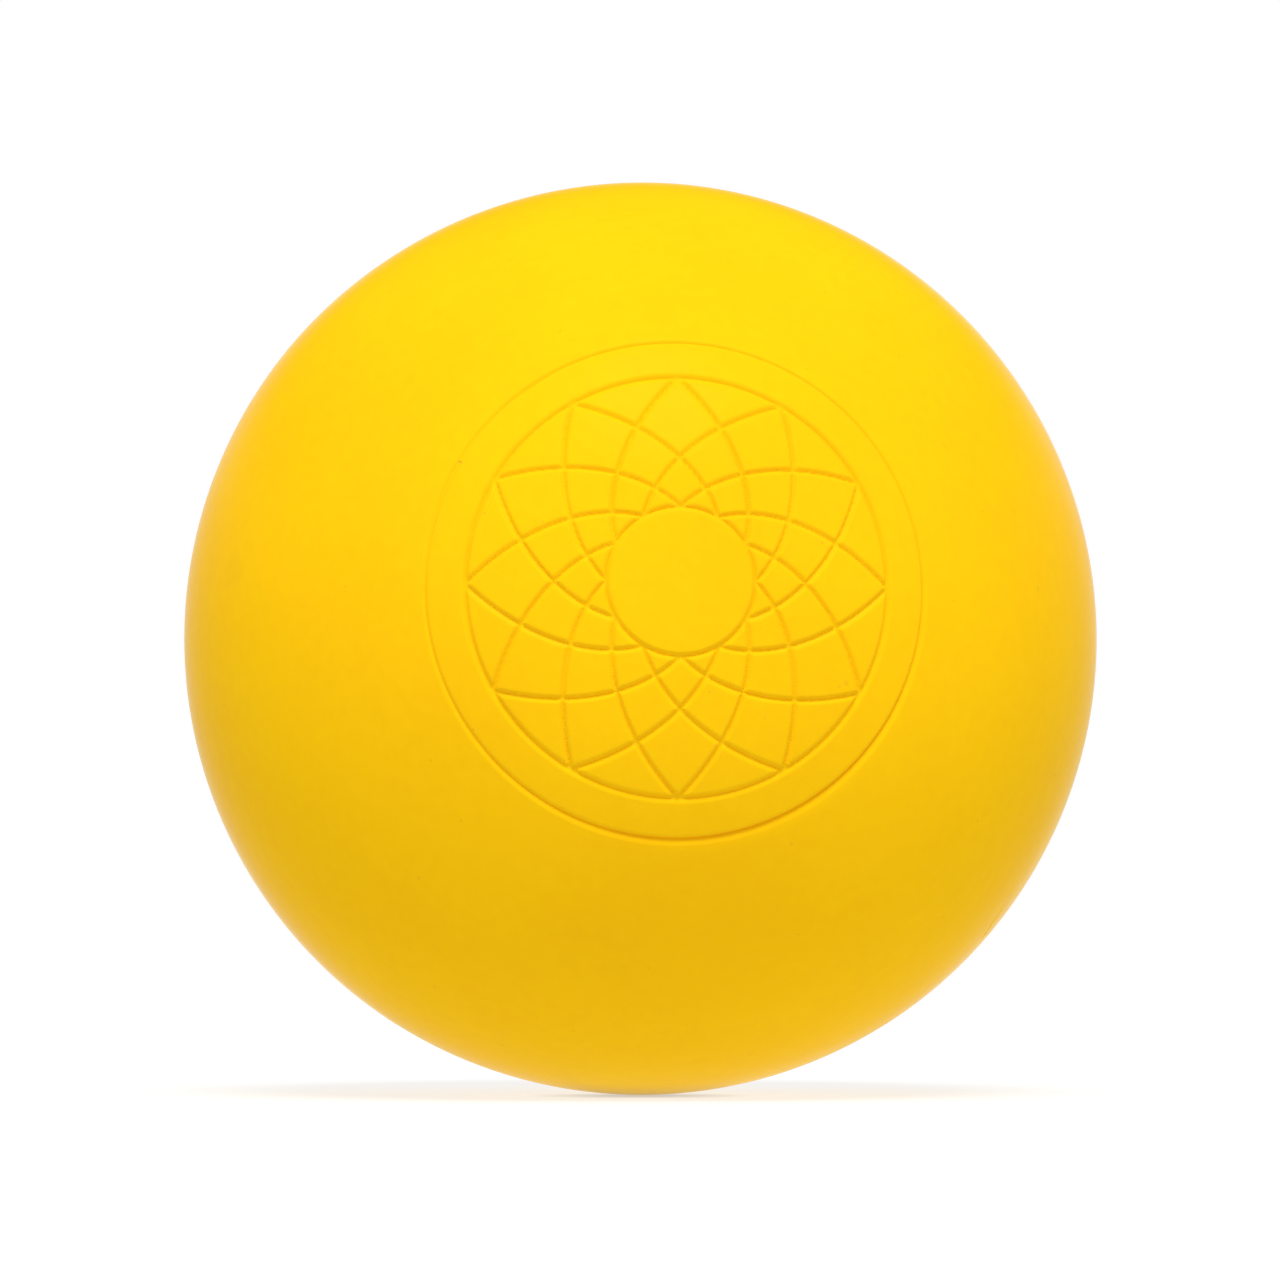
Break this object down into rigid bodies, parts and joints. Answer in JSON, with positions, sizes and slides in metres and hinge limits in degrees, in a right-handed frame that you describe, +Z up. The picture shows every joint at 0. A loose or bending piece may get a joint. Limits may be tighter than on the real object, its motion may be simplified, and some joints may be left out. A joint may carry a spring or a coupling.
{
  "type": "lacrosse ball",
  "caption": "Solid rubber lacrosse ball: a round core inside a yellow cover moulded in two halves, with a fine round groove on the front.",
  "frame": {"origin": "centre of the ball", "axes": "-Y from the centre out through the middle of the round groove on the front, +Z up, +X to the right as seen from the front; the parting line lies in the plane Y = 0"},
  "size_m": [0.0634, 0.0636, 0.0634],
  "materials": {
    "core_rubber": null,
    "cover_rubber": "satin yellow rubber with a fine even grain, paler at grazing angles"
  },
  "bodies": {
    "root": {"core": "core_rubber", "front_cover": "cover_rubber", "back_cover": "cover_rubber"}
  },
  "joints": []
}
